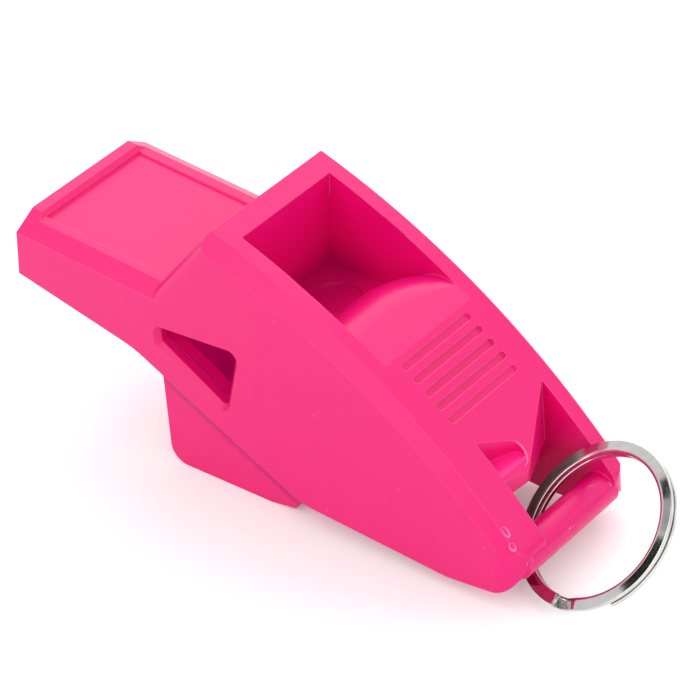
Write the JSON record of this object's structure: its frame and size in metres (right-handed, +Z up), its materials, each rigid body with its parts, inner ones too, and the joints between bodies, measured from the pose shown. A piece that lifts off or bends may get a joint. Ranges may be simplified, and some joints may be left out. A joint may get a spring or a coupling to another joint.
{
  "type": "pealess whistle",
  "caption": "Pealess whistle moulded in plastic, with a flat mouthpiece, sound windows in its sides, a grooved thumb rest and a split ring swinging on its tail bar.",
  "frame": {"origin": "on the flat under the chin, in the plane of symmetry of the mouldings", "axes": "+X from the mouthpiece to the tail bar, +Z up from the surface that the chin rests on, +Y along the tail bar"},
  "size_m": [0.0667, 0.0182, 0.0284],
  "materials": {
    "pink_plastic": "satin gloss, moulded",
    "pink_plastic_insert": "satin gloss, moulded",
    "ring_steel": "polished nickel plate"
  },
  "bodies": {
    "whistle": {"upper_body": "pink_plastic", "lower_insert": "pink_plastic_insert"},
    "ring": {"split_ring": "ring_steel"}
  },
  "joints": [
    {"name": "ring_swing", "type": "hinge", "parent": "whistle", "child": "ring", "pos_m": [0.03255, 0, 0.0041], "axis": [0, 1, 0], "range_deg": [-5, 58]}
  ]
}
